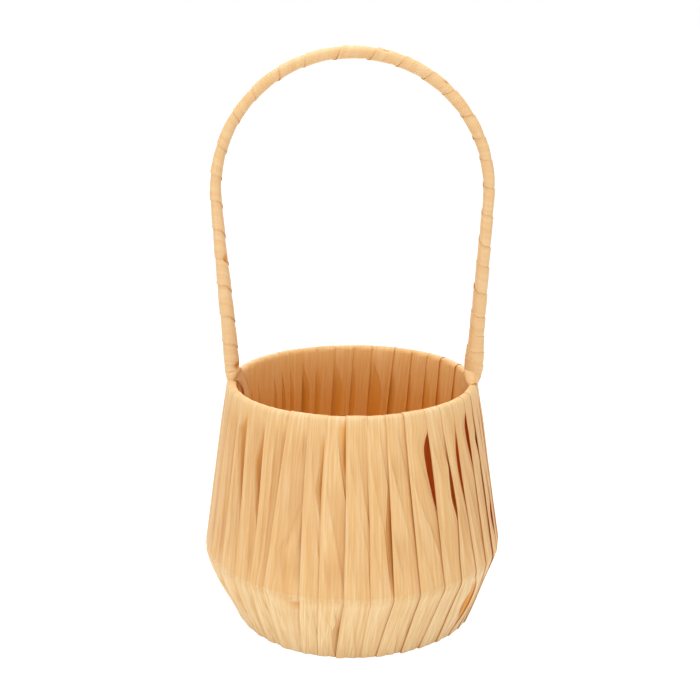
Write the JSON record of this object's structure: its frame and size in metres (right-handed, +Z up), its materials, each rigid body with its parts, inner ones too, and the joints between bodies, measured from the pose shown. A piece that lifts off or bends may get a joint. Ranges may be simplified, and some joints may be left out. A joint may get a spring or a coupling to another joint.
{
  "type": "ribbon-wound basket with hoop handle",
  "caption": "Small round basket, widest low down, of flat plastic ribbon wound over a wire frame, with a fixed ribbon-wrapped hoop handle.",
  "frame": {"origin": "centre of the base, on the surface that the basket stands on", "axes": "+Z up; the handle stands in the XZ plane, its feet at -X and +X; -Y is the pictured front"},
  "size_m": [0.18, 0.18, 0.3399],
  "materials": {
    "ribbon": "matt cream tan ribbon with fine lengthwise fibre lines",
    "wire": "drawn steel wire, dull",
    "floor": "thin pressed fibreboard, tan"
  },
  "bodies": {
    "root": {"wall_ribbon_front": "ribbon", "wall_ribbon_back": "ribbon", "handle_ribbon_left": "ribbon", "handle_ribbon_right": "ribbon", "handle_core": "wire", "rim_ring": "wire", "belly_ring": "wire", "base_ring": "wire", "upright_1": "wire", "upright_2": "wire", "upright_3": "wire", "upright_4": "wire", "upright_5": "wire", "upright_6": "wire", "upright_7": "wire", "upright_8": "wire", "floor_wire_lower": "wire", "floor_wire_upper": "wire", "floor_panel": "floor"}
  },
  "joints": []
}
